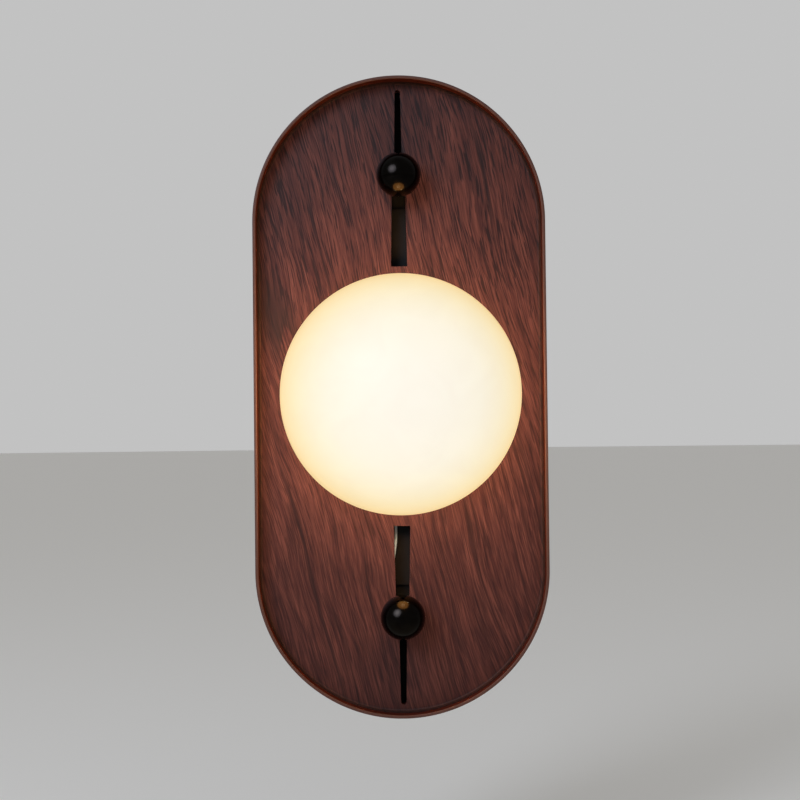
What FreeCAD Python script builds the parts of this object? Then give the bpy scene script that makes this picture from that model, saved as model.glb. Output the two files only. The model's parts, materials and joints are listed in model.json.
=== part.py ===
import FreeCAD, Part
import math
import os
import Sketcher
from FreeCAD import Placement, Rotation, Vector

# Wall light with a pill-shaped walnut tray, a hollow stone dome and two bronze ball nuts.
# Millimetres. +X is right, +Z is up and the front faces -Y. The wall is the plane y = 0, and the
# origin lies on it, at the centre of the two wall screw slots. Depths are counted from the wall.

sizes = {
    # walnut tray
    "trayWidth": 188,
    "trayHeight": 412,
    "hoopWall": 2,
    "hoopGap": 2,
    "hoopRound": 0.5,
    "lipHeight": 12,
    "boardGap": 9,
    "boardThick": 8,
    "coveRadius": 2,
    "coveLedge": 0.3,
    # tapered slots, measured from the middle of the tray
    "slotEnd": 84,
    "slotEndWidth": 10.7,
    "slotInnerWidth": 8.3,
    "slotOuterWidth": 4.9,
    "slotTipWidth": 3.1,
    "slotTipMargin": 7,
    "studHoleRadius": 5,
    # wall bumpers
    "bumperRadius": 5,
    "bumperAside": 55,
    "bumperInset": 56,
    # steel behind the board
    "barWidth": 30,
    "barThick": 3,
    "barMargin": 3,
    "barCorner": 4,
    "plateWidth": 60,
    "plateStudGap": 18.5,
    "plateThick": 1.5,
    "plateCorner": 6,
    "wallScrewSpacing": 88.9,
    "wallSlotWidth": 5.2,
    "wallSlotLength": 14,
    "plateScrewOffset": 66,
    "plateScrewRadius": 2,
    "plateScrewPlay": 0.25,
    "plateScrewHead": 3.8,
    "plateScrewHeadHeight": 2.4,
    "screwSlotWidth": 0.9,
    "screwSlotDepth": 0.8,
    # wire hole and its rubber ring
    "wireHoleDrop": 17,
    "grommetBore": 4.5,
    "grommetNeck": 6.5,
    "grommetFlange": 8,
    "grommetLip": 1.2,
    "grommetPlay": 1,
    # studs and balls
    "ballOffset": 141.5,
    "studRadius": 3,
    "studEngagement": 11,
    "studChamfer": 0.5,
    "weldRadius": 3.8,
    "weldHeight": 0.8,
    "weldPlay": 0.2,
    "spacerRadius": 7,
    "washerRadius": 8,
    "washerThick": 1.2,
    "washerPlay": 0.2,
    "ballRadius": 14.3,
    "ballFlat": 12.45,
    "ballBoreDepth": 13,
    "ballDrillTip": 1.2,
    "threadPlay": 0.05,
    "seatPlay": 0.05,
    # stone dome
    "domeRadius": 75,
    "domeWall": 6.5,
    "domeStandoff": 42,
    "mouthGap": 4,
    "mouthWall": 9.66,
    "mouthLip": 8.5,
    "mouthRound": 1,
    # collar, pins and gasket of the dome
    "collarWall": 1.5,
    "collarFlange": 7,
    "collarFlangeThick": 1,
    "collarLength": 8,
    "gasketWidth": 4,
    "pinRadius": 1.5,
    "pinStandoff": 8,
    "pinReach": 3.5,
    "pinShort": 0.1,
    "pinPlay": 0.3,
    "pinCount": 3,
    "twistTravel": 25,
    # fitter disc and ring on the board
    "fitterThick": 1.5,
    "fitterOverhang": 3,
    "ringGap": 1.5,
    "ringWall": 1.5,
    "ringHeight": 11.5,
    "fitterScrewInset": 6,
    "fitterScrewRadius": 1.75,
    "fitterScrewHead": 3.5,
    "fitterScrewHeadHeight": 2.2,
    "fitterScrewLength": 6.5,
    "fitterScrewPoint": 1.5,
    "fitterScrewCount": 3,
    "boardHoleInset": 6.5,
    # threaded tube and its nut
    "nippleRadius": 5,
    "nippleBore": 3.6,
    "nippleProud": 1,
    "nippleReach": 4,
    "nutAcross": 14,
    "nutThick": 3,
    "toothWasherRadius": 7.5,
    "toothWasherThick": 0.5,
    # lamp holder
    "holderRadius": 13.5,
    "holderWall": 1.5,
    "holderFloor": 3,
    "holderCapHeight": 11.5,
    "holderRim": 2,
    "holderLength": 19.5,
    "holderNose": 11.4,
    "holderTaper": 1.1,
    "holderWeb": 2.5,
    "holderInset": 1.5,
    "holderWireHole": 2,
    "shellWall": 0.5,
    "shellLength": 17.5,
    "shellGap": 0.3,
    "contactThick": 0.4,
    "contactWidth": 4,
    "contactLength": 10,
    "contactRise": 1.7,
    # lamp
    "capRadius": 7.02,
    "capPlay": 0.08,
    "capWall": 0.5,
    "capLength": 14,
    "capTaper": 1.6,
    "eyeletRadius": 2.3,
    "eyeletHeight": 1.3,
    "eyeletDome": 0.4,
    "insulatorRadius": 5,
    "insulatorHeight": 1.8,
    "lampPlugLength": 3.5,
    "lampNeckRadius": 8,
    "lampNeckLength": 1.5,
    "lampShoulderRadius": 15,
    "lampConeLength": 11,
    "lampShoulderLength": 3,
    "lampBodyWall": 1.5,
    "ledThick": 1.2,
    "ledPlay": 0.1,
    "globeRadius": 22.5,
    "globeWall": 1,
    # terminal block and its leads
    "blockWidth": 30,
    "blockHeight": 17,
    "blockPlay": 0.5,
    "blockRise": 14,
    "blockPitch": 9,
    "blockCorner": 1,
    "blockPegRadius": 1.4,
    "blockPegOffset": 10,
    "blockPegPlay": 0.1,
    "tubeRadius": 2.2,
    "tubeBore": 1.4,
    "tubeInset": 1,
    "tubeStandoff": 5.7,
    "clampOffset": 4.5,
    "clampRadius": 1.25,
    "clampHead": 1.9,
    "clampHeadHeight": 1.6,
    "clampWellPlay": 0.2,
    "clampSeatGap": 0.6,
    "leadRadius": 0.9,
    "earthAside": 20,
    "earthDrop": 32,
    "earthTongueRadius": 4.5,
    "earthTongueThick": 0.8,
    "crimpWall": 0.4,
    "crimpLength": 6.5,
}

doc = FreeCAD.newDocument("WallSconce")
sheet = doc.addObject("Spreadsheet::Sheet", "Sizes")
for row, (alias, number) in enumerate(sizes.items(), start=1):
    sheet.set("A%d" % row, alias)
    sheet.set("B%d" % row, str(number))
    sheet.setAlias("B%d" % row, alias)
doc.recompute()


class Size:
    # A number together with the sheet formula that it comes from.
    def __init__(self, value, formula):
        self.value = float(value)
        self.formula = formula

    def __add__(self, other):
        return joined(self, "+", other, self.value + asSize(other).value)

    def __sub__(self, other):
        return joined(self, "-", other, self.value - asSize(other).value)

    def __mul__(self, other):
        return joined(self, "*", other, self.value * asSize(other).value)

    def __truediv__(self, other):
        return joined(self, "/", other, self.value / asSize(other).value)

    def __neg__(self):
        return Size(-self.value, "-(%s)" % self.formula)


def asSize(number):
    if isinstance(number, Size):
        return number
    return Size(number, repr(number))


def joined(first, sign, second, value):
    return Size(value, "(%s %s %s)" % (first.formula, sign, asSize(second).formula))


def root(size):
    return Size(math.sqrt(size.value), "sqrt(%s)" % size.formula)


class SheetSizes:
    # Reads s.trayWidth as the sheet cell of that name.
    def __getattr__(self, alias):
        return Size(sizes[alias], "Sizes." + alias)


s = SheetSizes()
zero = Size(0, "0")
nodes = []

# Depths from the wall and radii that several pieces share
boardFace = s.boardGap + s.boardThick
hoopFront = boardFace + s.lipHeight
plateFront = s.barThick + s.plateThick
tubeDepth = plateFront + s.tubeStandoff
washerFront = boardFace + s.washerThick
ballSeat = washerFront + s.seatPlay
ballCentre = ballSeat + s.ballFlat
studEnd = washerFront + s.studEngagement
fitterFront = boardFace + s.fitterThick
domeCentre = boardFace + s.domeStandoff
domeBase = boardFace + s.mouthGap
domeBaseRadius = root(s.domeRadius * s.domeRadius - (domeCentre - domeBase) * (domeCentre - domeBase))
domeInside = s.domeRadius - s.domeWall
lipDepth = domeBase + s.mouthLip
lipRadius = root(domeInside * domeInside - (domeCentre - lipDepth) * (domeCentre - lipDepth))
mouthRadius = domeBaseRadius - s.mouthWall
collarBore = mouthRadius - s.collarWall
collarBack = domeBase - s.collarFlangeThick
pinDepth = boardFace + s.pinStandoff
ringRadius = collarBore - s.ringGap
ringBore = ringRadius - s.ringWall
fitterScrewCircle = ringBore - s.fitterScrewInset
boardHole = fitterScrewCircle - s.boardHoleInset
nutBack = boardFace - s.toothWasherThick - s.nutThick
capFront = fitterFront + s.holderCapHeight
holderFloorFront = capFront - s.holderInset + s.holderWeb
holderBore = s.capRadius + s.capPlay + s.shellWall
holderEnd = capFront + s.holderLength
contactTop = holderFloorFront + s.contactRise + s.contactThick
eyeletBack = contactTop + s.seatPlay
insulatorBack = eyeletBack + s.eyeletHeight
lampCapBack = insulatorBack + s.insulatorHeight
lampCapFront = lampCapBack + s.capLength
lampNeckFront = lampCapFront + s.lampNeckLength
lampConeFront = lampNeckFront + s.lampConeLength
lampShoulderFront = lampConeFront + s.lampShoulderLength
globeDrop = root(s.globeRadius * s.globeRadius - s.lampShoulderRadius * s.lampShoulderRadius)
globeCentre = lampShoulderFront + globeDrop
crimpDepth = plateFront + s.leadRadius + s.crimpWall


class Corner:
    # A corner of an outline. hold says which of its two coordinates are set by a formula: both,
    # or one where the corner lies on an arc.
    def __init__(self, across, up, hold="both"):
        self.across = asSize(across)
        self.up = asSize(up)
        self.hold = hold


class Bend:
    # The arc between two corners, about a centre. turn is 1 for anticlockwise, -1 for clockwise.
    def __init__(self, across, up, radius, turn):
        self.across = asSize(across)
        self.up = asSize(up)
        self.radius = asSize(radius)
        self.turn = turn


def holdPoint(sketch, edge, end, across, up, hold):
    if hold in ("both", "across"):
        if across.formula == "0":
            sketch.addConstraint(Sketcher.Constraint("PointOnObject", edge, end, -2))
        else:
            index = sketch.addConstraint(Sketcher.Constraint("DistanceX", -1, 1, edge, end, across.value))
            sketch.setExpression("Constraints[%d]" % index, across.formula)
    if hold in ("both", "up"):
        if up.formula == "0":
            sketch.addConstraint(Sketcher.Constraint("PointOnObject", edge, end, -1))
        else:
            index = sketch.addConstraint(Sketcher.Constraint("DistanceY", -1, 1, edge, end, up.value))
            sketch.setExpression("Constraints[%d]" % index, up.formula)


def addArc(sketch, start, bend, end):
    centre = Vector(bend.across.value, bend.up.value, 0)
    startAngle = math.atan2(start.up.value - centre.y, start.across.value - centre.x)
    endAngle = math.atan2(end.up.value - centre.y, end.across.value - centre.x)
    if bend.turn < 0:
        startAngle, endAngle = endAngle, startAngle
    if endAngle <= startAngle:
        endAngle += 2 * math.pi
    circle = Part.Circle(centre, Vector(0, 0, 1), bend.radius.value)
    edge = sketch.addGeometry(Part.ArcOfCircle(circle, startAngle, endAngle), False)
    index = sketch.addConstraint(Sketcher.Constraint("Radius", edge, bend.radius.value))
    sketch.setExpression("Constraints[%d]" % index, bend.radius.formula)
    holdPoint(sketch, edge, 3, bend.across, bend.up, "both")
    if bend.turn < 0:
        return edge, 2, 1
    return edge, 1, 2


# Draws a closed outline of corners, with a Bend between two corners where an arc joins them.
def drawOutline(sketch, steps):
    corners = []
    bends = {}
    for step in steps:
        if isinstance(step, Corner):
            corners.append(step)
        else:
            bends[len(corners) - 1] = step
    edges = []
    for place, start in enumerate(corners):
        end = corners[(place + 1) % len(corners)]
        if place in bends:
            edges.append(addArc(sketch, start, bends[place], end))
        else:
            startPoint = Vector(start.across.value, start.up.value, 0)
            endPoint = Vector(end.across.value, end.up.value, 0)
            edges.append((sketch.addGeometry(Part.LineSegment(startPoint, endPoint), False), 1, 2))
    for place, (edge, first, last) in enumerate(edges):
        nextEdge, nextFirst, nextLast = edges[(place + 1) % len(edges)]
        sketch.addConstraint(Sketcher.Constraint("Coincident", edge, last, nextEdge, nextFirst))
        corner = corners[place]
        holdPoint(sketch, edge, first, corner.across, corner.up, corner.hold)


def drawCircle(sketch, across, up, radius):
    across = asSize(across)
    up = asSize(up)
    radius = asSize(radius)
    circle = Part.Circle(Vector(across.value, up.value, 0), Vector(0, 0, 1), radius.value)
    edge = sketch.addGeometry(circle, False)
    index = sketch.addConstraint(Sketcher.Constraint("Radius", edge, radius.value))
    sketch.setExpression("Constraints[%d]" % index, radius.formula)
    holdPoint(sketch, edge, 3, across, up, "both")


def originFeature(body, role):
    for feature in body.Origin.OriginFeatures:
        if feature.Role == role:
            return feature


def newBody(label):
    body = doc.addObject("PartDesign::Body", label)
    body.Label = label
    return body


def newSketch(body, role, name, depth=None):
    sketch = body.newObject("Sketcher::SketchObject", body.Label + "_" + name)
    sketch.AttachmentSupport = [(originFeature(body, role), "")]
    sketch.MapMode = "FlatFace"
    if depth is not None:
        sketch.setExpression("AttachmentOffset.Base.z", asSize(depth).formula)
    return sketch


# The front view: across is X, up is Z, and a pad grows from its depth away from the wall.
def frontSketch(body, name, depth):
    return newSketch(body, "XZ_Plane", name, depth)


def pad(body, sketch, length):
    feature = body.newObject("PartDesign::Pad", sketch.Name + "_pad")
    feature.Profile = sketch
    feature.setExpression("Length", asSize(length).formula)
    return feature


# Cuts from the sketch back towards the wall.
def pocket(body, sketch, length):
    feature = body.newObject("PartDesign::Pocket", sketch.Name + "_pocket")
    feature.Profile = sketch
    feature.setExpression("Length", asSize(length).formula)
    return feature


def mirrored(body, originals, role, name):
    feature = body.newObject("PartDesign::Mirrored", body.Label + "_" + name)
    feature.Originals = originals
    feature.MirrorPlane = (originFeature(body, role), [""])
    body.Tip = feature
    return feature


def polarPattern(body, originals, count, name):
    feature = body.newObject("PartDesign::PolarPattern", body.Label + "_" + name)
    feature.Originals = originals
    feature.Axis = (originFeature(body, "Y_Axis"), [""])
    feature.Angle = 360
    feature.setExpression("Occurrences", count.formula)
    body.Tip = feature
    return feature


# Rounds or chamfers every edge of the body that passes the test.
def trimEdges(body, kind, name, size, test):
    doc.recompute()
    base = body.Tip
    names = ["Edge%d" % place for place, edge in enumerate(base.Shape.Edges, start=1) if test(edge)]
    if not names:
        raise RuntimeError("no edge to trim on " + body.Label)
    feature = body.newObject("PartDesign::" + kind, body.Label + "_" + name)
    feature.Base = (base, names)
    if kind == "Fillet":
        feature.setExpression("Radius", asSize(size).formula)
    else:
        feature.setExpression("Size", asSize(size).formula)
    return feature


def atDepth(edge, depth):
    points = [edge.valueAt(edge.FirstParameter), edge.valueAt(edge.LastParameter)]
    points.append(edge.valueAt((edge.FirstParameter + edge.LastParameter) / 2))
    return all(abs(point.y + depth.value) < 0.001 for point in points)


# A turned piece about its own front-to-back line. Corners are (radius, depth from the wall).
def turned(label, steps):
    body = newBody(label)
    sketch = newSketch(body, "XY_Plane", "profile")
    flipped = []
    for step in steps:
        if isinstance(step, Bend):
            flipped.append(Bend(step.across, -step.up, step.radius, -step.turn))
        else:
            flipped.append(Corner(step.across, -step.up, step.hold))
    drawOutline(sketch, flipped)
    feature = body.newObject("PartDesign::Revolution", label + "_spin")
    feature.Profile = sketch
    feature.ReferenceAxis = (originFeature(body, "Y_Axis"), [""])
    feature.Angle = 360
    return body


def tubeShape(label, bore, radius, back, front):
    steps = [Corner(bore, back), Corner(radius, back), Corner(radius, front), Corner(bore, front)]
    return turned(label, steps)


def place(body, across=zero, up=zero):
    body.setExpression("Placement.Base.x", asSize(across).formula)
    body.setExpression("Placement.Base.z", asSize(up).formula)
    return body


def node(body):
    nodes.append(body)
    return body


# Separate solids that share one node.
def group(label, bodies):
    compound = doc.addObject("Part::Compound", label)
    compound.Label = label
    compound.Links = bodies
    return node(compound)


# An upright pill: two half circles joined by straight sides.
def pill(sketch, width, height):
    radius = width / 2
    reach = height / 2 - radius
    drawOutline(sketch, [
        Corner(radius, reach, "up"),
        Bend(zero, reach, radius, 1),
        Corner(-radius, reach, "up"),
        Corner(-radius, -reach, "up"),
        Bend(zero, -reach, radius, 1),
        Corner(radius, -reach, "up"),
    ])


def roundedBox(sketch, width, height, corner, middle=zero):
    half = width / 2
    top = middle + height / 2
    bottom = middle - height / 2
    inner = half - corner
    drawOutline(sketch, [
        Corner(half, bottom + corner, "up"),
        Corner(half, top - corner, "up"),
        Bend(inner, top - corner, corner, 1),
        Corner(inner, top, "across"),
        Corner(-inner, top, "across"),
        Bend(-inner, top - corner, corner, 1),
        Corner(-half, top - corner, "up"),
        Corner(-half, bottom + corner, "up"),
        Bend(-inner, bottom + corner, corner, 1),
        Corner(-inner, bottom, "across"),
        Corner(inner, bottom, "across"),
        Bend(inner, bottom + corner, corner, 1),
    ])


# Slot for a wall screw, upright, centred at a height.
def wallSlot(sketch, middle):
    radius = s.wallSlotWidth / 2
    reach = s.wallSlotLength / 2 - radius
    drawOutline(sketch, [
        Corner(radius, middle + reach, "up"),
        Bend(zero, middle + reach, radius, 1),
        Corner(-radius, middle + reach, "up"),
        Corner(-radius, middle - reach, "up"),
        Bend(zero, middle - reach, radius, 1),
        Corner(radius, middle - reach, "up"),
    ])


# Pan-head screw with a driver slot. Its head sits on a face at the seat depth.
def screw(label, seat, shank, length, head, headHeight, point=None):
    shoulder = head * 0.75
    tip = seat - length
    steps = [Corner(zero, seat + headHeight), Corner(shoulder, seat + headHeight)]
    steps += [Corner(head, seat + headHeight * 0.5), Corner(head, seat), Corner(shank, seat)]
    if point is None:
        steps += [Corner(shank, tip), Corner(zero, tip)]
    else:
        steps += [Corner(shank, tip + point), Corner(zero, tip)]
    body = turned(label, steps)
    cut = frontSketch(body, "driver", seat + headHeight)
    half = s.screwSlotWidth / 2
    drawOutline(cut, [Corner(-head, -half), Corner(head, -half), Corner(head, half), Corner(-head, half)])
    pocket(body, cut, s.screwSlotDepth)
    return body


# Walnut tray

def makeTrayBoard():
    body = newBody("tray_board")
    width = s.trayWidth - s.hoopWall * 2
    height = s.trayHeight - s.hoopWall * 2
    outline = frontSketch(body, "outline", s.boardGap)
    pill(outline, width, height)
    pad(body, outline, s.boardThick)
    edge = frontSketch(body, "edge", boardFace)
    pill(edge, width, height)
    pill(edge, width - s.coveLedge * 2, height - s.coveLedge * 2)
    pad(body, edge, s.coveRadius * 1.1)
    inner = width / 2 - s.coveLedge

    def atCove(line):
        middle = line.valueAt((line.FirstParameter + line.LastParameter) / 2)
        reach = (height - width) / 2
        beyond = max(abs(middle.z) - reach.value, 0)
        return atDepth(line, boardFace) and abs(math.hypot(middle.x, beyond) - inner.value) < 0.01

    trimEdges(body, "Fillet", "cove", s.coveRadius, atCove)

    wide = frontSketch(body, "wide_slot", boardFace)
    drawOutline(wide, [
        Corner(-s.slotEndWidth / 2, s.slotEnd),
        Corner(s.slotEndWidth / 2, s.slotEnd),
        Corner(s.slotInnerWidth / 2, s.ballOffset),
        Corner(-s.slotInnerWidth / 2, s.ballOffset),
    ])
    tipRadius = s.slotTipWidth / 2
    tipCentre = s.trayHeight / 2 - s.slotTipMargin - tipRadius
    narrow = frontSketch(body, "narrow_slot", boardFace)
    drawOutline(narrow, [
        Corner(-s.slotOuterWidth / 2, s.ballOffset),
        Corner(s.slotOuterWidth / 2, s.ballOffset),
        Corner(tipRadius, tipCentre, "up"),
        Bend(zero, tipCentre, tipRadius, 1),
        Corner(-tipRadius, tipCentre, "up"),
    ])
    studHole = frontSketch(body, "stud_hole", boardFace)
    drawCircle(studHole, zero, s.ballOffset, s.studHoleRadius)
    cuts = [pocket(body, sketch, s.boardThick) for sketch in (wide, narrow, studHole)]
    mirrored(body, cuts, "XY_Plane", "lower_slot")

    middle = frontSketch(body, "middle_hole", boardFace)
    drawCircle(middle, zero, zero, boardHole)
    pocket(body, middle, s.boardThick)
    pilot = frontSketch(body, "pilot_hole", boardFace)
    drawCircle(pilot, zero, fitterScrewCircle, s.fitterScrewRadius)
    pilotCut = pocket(body, pilot, s.fitterScrewLength)
    polarPattern(body, [pilotCut], s.fitterScrewCount, "pilot_holes")
    return node(body)


def makeRimHoop():
    body = newBody("rim_hoop")
    ring = frontSketch(body, "ring", s.hoopGap)
    pill(ring, s.trayWidth, s.trayHeight)
    pill(ring, s.trayWidth - s.hoopWall * 2, s.trayHeight - s.hoopWall * 2)
    pad(body, ring, hoopFront - s.hoopGap)
    trimEdges(body, "Fillet", "front_round", s.hoopRound, lambda edge: atDepth(edge, hoopFront))
    return node(body)


def makeWallBumpers():
    bumpers = []
    up = s.trayHeight / 2 - s.bumperInset
    for side in (-1, 1):
        for level in (-1, 1):
            bumper = tubeShape("wall_bumper_%d" % (len(bumpers) + 1), zero, s.bumperRadius, zero, s.boardGap)
            bumpers.append(place(bumper, s.bumperAside * side, up * level))
    return group("wall_bumpers", bumpers)


# Steel behind the board

def wallSlots(body, front, thick):
    slots = frontSketch(body, "wall_slots", front)
    wallSlot(slots, s.wallScrewSpacing / 2)
    wallSlot(slots, -s.wallScrewSpacing / 2)
    pocket(body, slots, thick)


def makeStudBar():
    body = newBody("stud_bar")
    outline = frontSketch(body, "outline", zero)
    roundedBox(outline, s.barWidth, s.trayHeight - (s.hoopWall + s.barMargin) * 2, s.barCorner)
    pad(body, outline, s.barThick)
    wallSlots(body, s.barThick, s.barThick)
    holes = frontSketch(body, "holes", s.barThick)
    drawCircle(holes, zero, -s.wireHoleDrop, s.grommetFlange + s.grommetPlay)
    drawCircle(holes, zero, s.plateScrewOffset, s.plateScrewRadius)
    drawCircle(holes, zero, -s.plateScrewOffset, s.plateScrewRadius)
    pocket(body, holes, s.barThick)
    return node(body)


def makeMountingPlate():
    body = newBody("mounting_plate")
    outline = frontSketch(body, "outline", s.barThick)
    roundedBox(outline, s.plateWidth, (s.ballOffset - s.plateStudGap) * 2, s.plateCorner)
    pad(body, outline, s.plateThick)
    wallSlots(body, plateFront, s.plateThick)
    holes = frontSketch(body, "holes", plateFront)
    drawCircle(holes, zero, -s.wireHoleDrop, s.grommetNeck)
    for level in (-1, 1):
        drawCircle(holes, zero, s.plateScrewOffset * level, s.plateScrewRadius + s.plateScrewPlay)
    pegHeight = s.blockRise + s.blockHeight / 2
    for side in (-1, 1):
        drawCircle(holes, s.blockPegOffset * side, pegHeight, s.blockPegRadius + s.blockPegPlay)
    drawCircle(holes, s.earthAside, -s.earthDrop, s.plateScrewRadius)
    pocket(body, holes, s.plateThick)
    return node(body)


def makePlateScrews():
    screws = []
    for level in (-1, 1):
        body = screw("plate_screw_%d" % (len(screws) + 1), plateFront, s.plateScrewRadius, plateFront,
                     s.plateScrewHead, s.plateScrewHeadHeight)
        screws.append(place(body, zero, s.plateScrewOffset * level))
    return group("plate_screws", screws)


def makeWireGrommet():
    back = s.barThick - s.grommetLip
    front = plateFront + s.grommetLip
    body = turned("wire_grommet", [
        Corner(s.grommetBore, back),
        Corner(s.grommetFlange, back),
        Corner(s.grommetFlange, s.barThick),
        Corner(s.grommetNeck, s.barThick),
        Corner(s.grommetNeck, plateFront),
        Corner(s.grommetFlange, plateFront),
        Corner(s.grommetFlange, front),
        Corner(s.grommetBore, front),
    ])
    return node(place(body, zero, -s.wireHoleDrop))


# Studs and balls

def makeStud(label, level):
    body = turned(label, [
        Corner(zero, s.barThick),
        Corner(s.weldRadius, s.barThick),
        Corner(s.studRadius, s.barThick + s.weldHeight),
        Corner(s.studRadius, studEnd - s.studChamfer),
        Corner(s.studRadius - s.studChamfer, studEnd),
        Corner(zero, studEnd),
    ])
    return node(place(body, zero, s.ballOffset * level))


def makeSpacers():
    spacers = []
    for level in (-1, 1):
        bore = s.weldRadius + s.weldPlay
        body = tubeShape("stud_spacer_%d" % (len(spacers) + 1), bore, s.spacerRadius, s.barThick, s.boardGap)
        spacers.append(place(body, zero, s.ballOffset * level))
    return group("stud_spacers", spacers)


def makeWasher(label, level):
    body = tubeShape(label, s.studRadius + s.washerPlay, s.washerRadius, boardFace, washerFront)
    return node(place(body, zero, s.ballOffset * level))


def makeBall(label, level):
    flatRadius = root(s.ballRadius * s.ballRadius - s.ballFlat * s.ballFlat)
    bore = s.studRadius + s.threadPlay
    boreEnd = ballSeat + s.ballBoreDepth
    body = turned(label, [
        Corner(bore, ballSeat),
        Corner(flatRadius, ballSeat, "up"),
        Bend(zero, ballCentre, s.ballRadius, 1),
        Corner(zero, ballCentre + s.ballRadius, "across"),
        Corner(zero, boreEnd + s.ballDrillTip),
        Corner(bore, boreEnd),
    ])
    return node(place(body, zero, s.ballOffset * level))


# Stone dome with its collar, pins and gasket

def makeDome():
    body = turned("alabaster_dome", [
        Corner(mouthRadius, domeBase),
        Corner(domeBaseRadius, domeBase, "up"),
        Bend(zero, domeCentre, s.domeRadius, 1),
        Corner(zero, domeCentre + s.domeRadius, "across"),
        Corner(zero, domeCentre + domeInside, "across"),
        Bend(zero, domeCentre, domeInside, -1),
        Corner(lipRadius, lipDepth, "up"),
        Corner(mouthRadius, lipDepth),
    ])
    trimEdges(body, "Fillet", "mouth_round", s.mouthRound,
              lambda edge: atDepth(edge, domeBase) and edge.Curve.Radius > mouthRadius.value + 1)
    return node(body)


def makeCollar():
    body = turned("dome_collar", [
        Corner(collarBore, collarBack),
        Corner(mouthRadius + s.collarFlange, collarBack),
        Corner(mouthRadius + s.collarFlange, domeBase),
        Corner(mouthRadius, domeBase),
        Corner(mouthRadius, domeBase + s.collarLength),
        Corner(collarBore, domeBase + s.collarLength),
    ])
    hole = newSketch(body, "YZ_Plane", "pin_hole", mouthRadius + s.collarWall)
    drawCircle(hole, -pinDepth, zero, s.pinRadius)
    cut = pocket(body, hole, s.collarWall * 3)
    polarPattern(body, [cut], s.pinCount, "pin_holes")
    return node(body)


def makePins():
    pins = []
    for turn in range(sizes["pinCount"]):
        pin = doc.addObject("Part::Cylinder", "bayonet_pin_%d" % (turn + 1))
        pin.setExpression("Radius", s.pinRadius.formula)
        pin.setExpression("Height", (s.pinReach + s.collarWall - s.pinShort).formula)
        # the cylinder points outwards from its inner end
        angle = 2 * math.pi * turn / sizes["pinCount"]
        inner = collarBore - s.pinReach
        outward = Vector(math.cos(angle), 0, math.sin(angle))
        pin.Placement = Placement(Vector(0, 0, 0), Rotation(Vector(0, 0, 1), outward))
        pin.setExpression("Placement.Base.x", (inner * outward.x).formula)
        pin.setExpression("Placement.Base.y", (-pinDepth).formula)
        pin.setExpression("Placement.Base.z", (inner * outward.z).formula)
        pins.append(pin)
    return group("bayonet_pins", pins)


def makeGasket():
    return node(tubeShape("dome_gasket", collarBore, collarBore + s.gasketWidth, fitterFront + s.seatPlay,
                          collarBack))


# Fitter disc and ring on the board

def makeFitterPlate():
    body = tubeShape("fitter_plate", s.nippleRadius, mouthRadius + s.fitterOverhang, boardFace, fitterFront)
    hole = frontSketch(body, "screw_hole", fitterFront)
    drawCircle(hole, zero, fitterScrewCircle, s.fitterScrewRadius)
    cut = pocket(body, hole, s.fitterThick)
    polarPattern(body, [cut], s.fitterScrewCount, "screw_holes")
    return node(body)


# Cuts a window through the ring's wall, centred at an angle and this many degrees wide.
def ringWindow(body, name, low, high, middle, width):
    sketch = newSketch(body, "XY_Plane", name)
    inside = ringBore - s.ringWall
    outside = ringRadius + s.ringWall
    drawOutline(sketch, [
        Corner(inside, -low), Corner(outside, -low), Corner(outside, -high), Corner(inside, -high),
    ])
    sketch.AttachmentOffset = Placement(Vector(0, 0, 0), Rotation(Vector(0, 1, 0), middle.value))
    sketch.setExpression("AttachmentOffset.Rotation.Angle", "%s * 1 deg" % middle.formula)
    feature = body.newObject("PartDesign::Groove", sketch.Name + "_groove")
    feature.Profile = sketch
    feature.ReferenceAxis = (originFeature(body, "Y_Axis"), [""])
    feature.Midplane = True
    feature.setExpression("Angle", width.formula)
    return feature


def makeFitterRing():
    ringFront = fitterFront + s.ringHeight
    body = tubeShape("fitter_ring", ringBore, ringRadius, fitterFront, ringFront)
    halfSlot = s.pinRadius + s.pinPlay
    pinSpan = halfSlot * 2 / ringBore * (180 / math.pi)
    run = ringWindow(body, "pin_run", pinDepth - halfSlot, pinDepth + halfSlot,
                     -s.twistTravel / 2, s.twistTravel + pinSpan)
    entry = ringWindow(body, "pin_entry", pinDepth, ringFront + s.pinPlay, -s.twistTravel, pinSpan)
    polarPattern(body, [run, entry], s.pinCount, "pin_slots")
    return node(body)


def makeFitterScrews():
    screws = []
    for turn in range(sizes["fitterScrewCount"]):
        angle = math.pi / 2 + 2 * math.pi * turn / sizes["fitterScrewCount"]
        body = screw("fitter_screw_%d" % (turn + 1), fitterFront, s.fitterScrewRadius,
                     s.fitterScrewLength + s.fitterThick, s.fitterScrewHead, s.fitterScrewHeadHeight,
                     s.fitterScrewPoint)
        screws.append(place(body, fitterScrewCircle * math.cos(angle), fitterScrewCircle * math.sin(angle)))
    return group("fitter_screws", screws)


def makeNipple():
    return node(tubeShape("threaded_nipple", s.nippleBore, s.nippleRadius, nutBack - s.nippleProud,
                          fitterFront + s.nippleReach))


def makeNippleNut():
    body = newBody("nipple_nut")
    outline = frontSketch(body, "outline", nutBack)
    reach = s.nutAcross / math.sqrt(3)
    corners = []
    for turn in range(6):
        angle = math.radians(60 * turn)
        corners.append(Corner(reach * math.cos(angle), reach * math.sin(angle)))
    drawOutline(outline, corners)
    drawCircle(outline, zero, zero, s.nippleRadius)
    pad(body, outline, s.nutThick)
    return node(body)


def makeNippleWasher():
    return node(tubeShape("nipple_washer", s.nippleRadius, s.toothWasherRadius,
                          boardFace - s.toothWasherThick, boardFace))


# Lamp holder

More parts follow.
